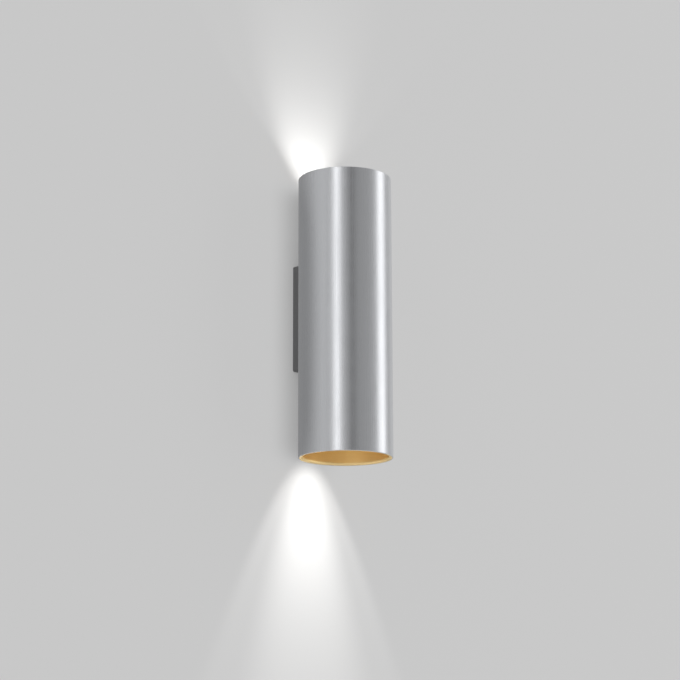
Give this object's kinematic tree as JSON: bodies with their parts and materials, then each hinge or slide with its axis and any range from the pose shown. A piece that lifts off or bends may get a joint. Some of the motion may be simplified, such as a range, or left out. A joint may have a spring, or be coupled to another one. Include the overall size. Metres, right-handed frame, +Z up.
{
  "type": "wall light",
  "caption": "Up-and-down wall light: a plain brushed aluminium tube on a slim saddle, open at both ends, with a matt gold glare sleeve and a twist-lock lamp in each.",
  "frame": {"origin": "on the wall, level with the tube's middle and midway between the wall plate's two screw slots", "axes": "+Y into the wall, +Z up along the tube, +X to the right seen from the room"},
  "size_m": [0.08, 0.086, 0.243],
  "materials": {
    "brushed_aluminium": "satin brushed natural aluminium",
    "grey_coated_casting": "matt dark grey powder coat",
    "matt_gold": "matt gold anodised, pale at the lip",
    "zinc_steel": "bright zinc plate",
    "raw_casting": "as-cast, lightly blasted",
    "black_rubber": "matt moulded",
    "clear_silicone": "translucent silicone",
    "white_plastic": "moulded, fine texture",
    "brass": "machined",
    "tinned_copper": "tin plate",
    "green_yellow_lead": "two-colour insulation",
    "silicone_lead": "off-white silicone over braid",
    "ceramic": "unglazed steatite",
    "lamp_plastic": "white moulded",
    "nickel_pins": "nickel plate",
    "lamp_housing_coating": "white coated heat sink",
    "circuit_board": "white solder mask",
    "lit_lens": "clear moulded lens"
  },
  "bodies": {
    "fixture": {"wall_plate": "zinc_steel", "cable_grommet": "black_rubber", "mounting_saddle": "grey_coated_casting", "saddle_lock_screws": "zinc_steel", "frame_screws": "zinc_steel", "outer_tube": "brushed_aluminium", "lamp_frame": "raw_casting", "terminal_block": "white_plastic", "terminal_clamps": "brass", "terminal_block_screws": "zinc_steel", "earth_screw": "brass", "earth_ring_lug": "tinned_copper", "earth_lead": "green_yellow_lead", "lower_lampholder": "ceramic", "lower_lampholder_cover": "ceramic", "lower_lampholder_contacts": "brass", "lower_lampholder_screws": "zinc_steel", "lower_lamp_leads": "silicone_lead", "upper_lampholder": "ceramic", "upper_lampholder_cover": "ceramic", "upper_lampholder_contacts": "brass", "upper_lampholder_screws": "zinc_steel", "upper_lamp_leads": "silicone_lead"},
    "lower_lamp": {"lower_lamp_base": "lamp_plastic", "lower_lamp_pins": "nickel_pins", "lower_lamp_housing": "lamp_housing_coating", "lower_lamp_led_board": "circuit_board", "lower_lamp_lens": "lit_lens", "lower_lamp_bezel": "lamp_plastic"},
    "lower_sleeve": {"lower_glare_sleeve": "matt_gold", "lower_sleeve_ring": "clear_silicone"},
    "upper_lamp": {"upper_lamp_base": "lamp_plastic", "upper_lamp_pins": "nickel_pins", "upper_lamp_housing": "lamp_housing_coating", "upper_lamp_led_board": "circuit_board", "upper_lamp_lens": "lit_lens", "upper_lamp_bezel": "lamp_plastic"},
    "upper_sleeve": {"upper_glare_sleeve": "matt_gold", "upper_sleeve_ring": "clear_silicone"}
  },
  "joints": [
    {"name": "lower_sleeve_pull", "type": "slide", "parent": "fixture", "child": "lower_sleeve", "axis": [0, 0, -1], "range_m": [0, 0.045]},
    {"name": "lower_lamp_twist", "type": "hinge", "parent": "fixture", "child": "lower_lamp", "pos_m": [0, -0.046, 0], "axis": [0, 0, -1], "range_deg": [0, 30]},
    {"name": "upper_sleeve_pull", "type": "slide", "parent": "fixture", "child": "upper_sleeve", "axis": [0, 0, 1], "range_m": [0, 0.045]},
    {"name": "upper_lamp_twist", "type": "hinge", "parent": "fixture", "child": "upper_lamp", "pos_m": [0, -0.046, 0], "axis": [0, 0, 1], "range_deg": [0, 30]}
  ]
}
